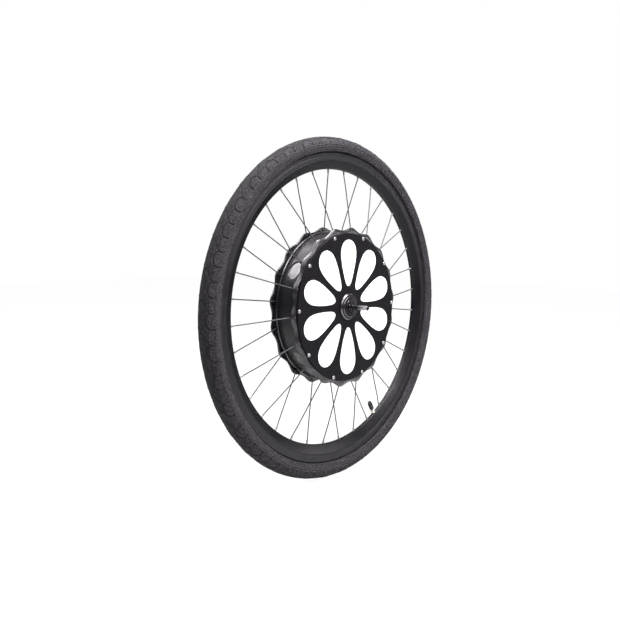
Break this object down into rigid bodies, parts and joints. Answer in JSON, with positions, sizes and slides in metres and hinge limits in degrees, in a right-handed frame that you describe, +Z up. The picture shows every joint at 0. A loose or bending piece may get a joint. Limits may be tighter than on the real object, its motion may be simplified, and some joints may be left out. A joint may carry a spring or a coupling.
{
  "type": "hub motor wheel",
  "caption": "Spoked bicycle front wheel with a tyre, a deep black rim and a large flat hub motor behind a petal-shaped cover.",
  "frame": {"origin": "wheel centre, on the axle axis and in the middle plane of the rim, halfway between the two dropout faces", "axes": "+Y along the axle towards the plain rear cover, -Y towards the petal cover, +Z up; the valve points down and a little towards +X"},
  "size_m": [0.7, 0.182, 0.7],
  "materials": {
    "tyre": "matte moulded rubber tread, charcoal",
    "tube": "matte",
    "rim_tape": "matte",
    "rim": "satin black anodised, brighter sheen on the brake tracks",
    "steel": "bright",
    "brass": "bright",
    "black_plastic": "matte",
    "hub_black": "cast, glossy black paint",
    "cover_black": "satin black paint, fine texture",
    "petal_white": "plain white",
    "boss_black": "black, bright edges",
    "seal": "matte",
    "iron": "dull",
    "magnet": "nickel",
    "bearing_steel": "polished",
    "copper": "enamelled copper wire",
    "aluminium": "machined",
    "battery": "shrink wrap",
    "board": "solder mask",
    "cable": "matte",
    "axle_steel": "bright, fine thread"
  },
  "bodies": {
    "axle_assembly": {"stator_core": "iron", "stator_windings": "copper", "stator_carrier": "aluminium", "battery_module_1": "battery", "battery_module_2": "battery", "battery_module_3": "battery", "battery_module_4": "battery", "controller_case": "aluminium", "controller_lid": "aluminium", "controller_board": "board", "phase_cable": "cable", "battery_cable": "cable", "bearing_front_inner_ring": "bearing_steel", "bearing_rear_inner_ring": "bearing_steel", "axle": "axle_steel", "axle_plug_front": "black_plastic", "axle_plug_rear": "black_plastic", "dust_shield_front": "boss_black", "dust_shield_rear": "boss_black", "lock_washer_front": "boss_black", "lock_washer_rear": "boss_black", "locknut_front": "boss_black", "locknut_rear": "boss_black"},
    "wheel": {"tyre": "tyre", "inner_tube": "tube", "rim_tape": "rim_tape", "rim": "rim", "spoke_nipples": "steel", "spokes_front": "steel", "spokes_rear": "steel", "valve_stem": "brass", "valve_lock_ring": "steel", "valve_cap": "black_plastic", "hub_shell": "hub_black", "rear_cover": "hub_black", "front_cover": "cover_black", "petal_insert": "petal_white", "cover_screws": "steel", "bearing_cap_front": "boss_black", "seal_front": "seal", "seal_rear": "seal", "rotor_yoke": "iron", "magnet_ring": "magnet", "bearing_front_outer_ring": "bearing_steel", "bearing_rear_outer_ring": "bearing_steel"},
    "front_ball_set": {"bearing_front_balls": "bearing_steel"},
    "rear_ball_set": {"bearing_rear_balls": "bearing_steel"}
  },
  "joints": [
    {"name": "wheel_spin", "type": "hinge", "parent": "axle_assembly", "child": "wheel", "pos_m": [0, 0, 0], "axis": [0, 1, 0], "continuous": true},
    {"name": "front_balls_spin", "type": "hinge", "parent": "axle_assembly", "child": "front_ball_set", "pos_m": [0, -0.0343, 0], "axis": [0, 1, 0], "continuous": true},
    {"name": "rear_balls_spin", "type": "hinge", "parent": "axle_assembly", "child": "rear_ball_set", "pos_m": [0, 0.028, 0], "axis": [0, 1, 0], "continuous": true}
  ],
  "couplings": [
    {"joint": "front_balls_spin", "follows": "wheel_spin", "ratio": 0.62},
    {"joint": "rear_balls_spin", "follows": "wheel_spin", "ratio": 0.62}
  ]
}
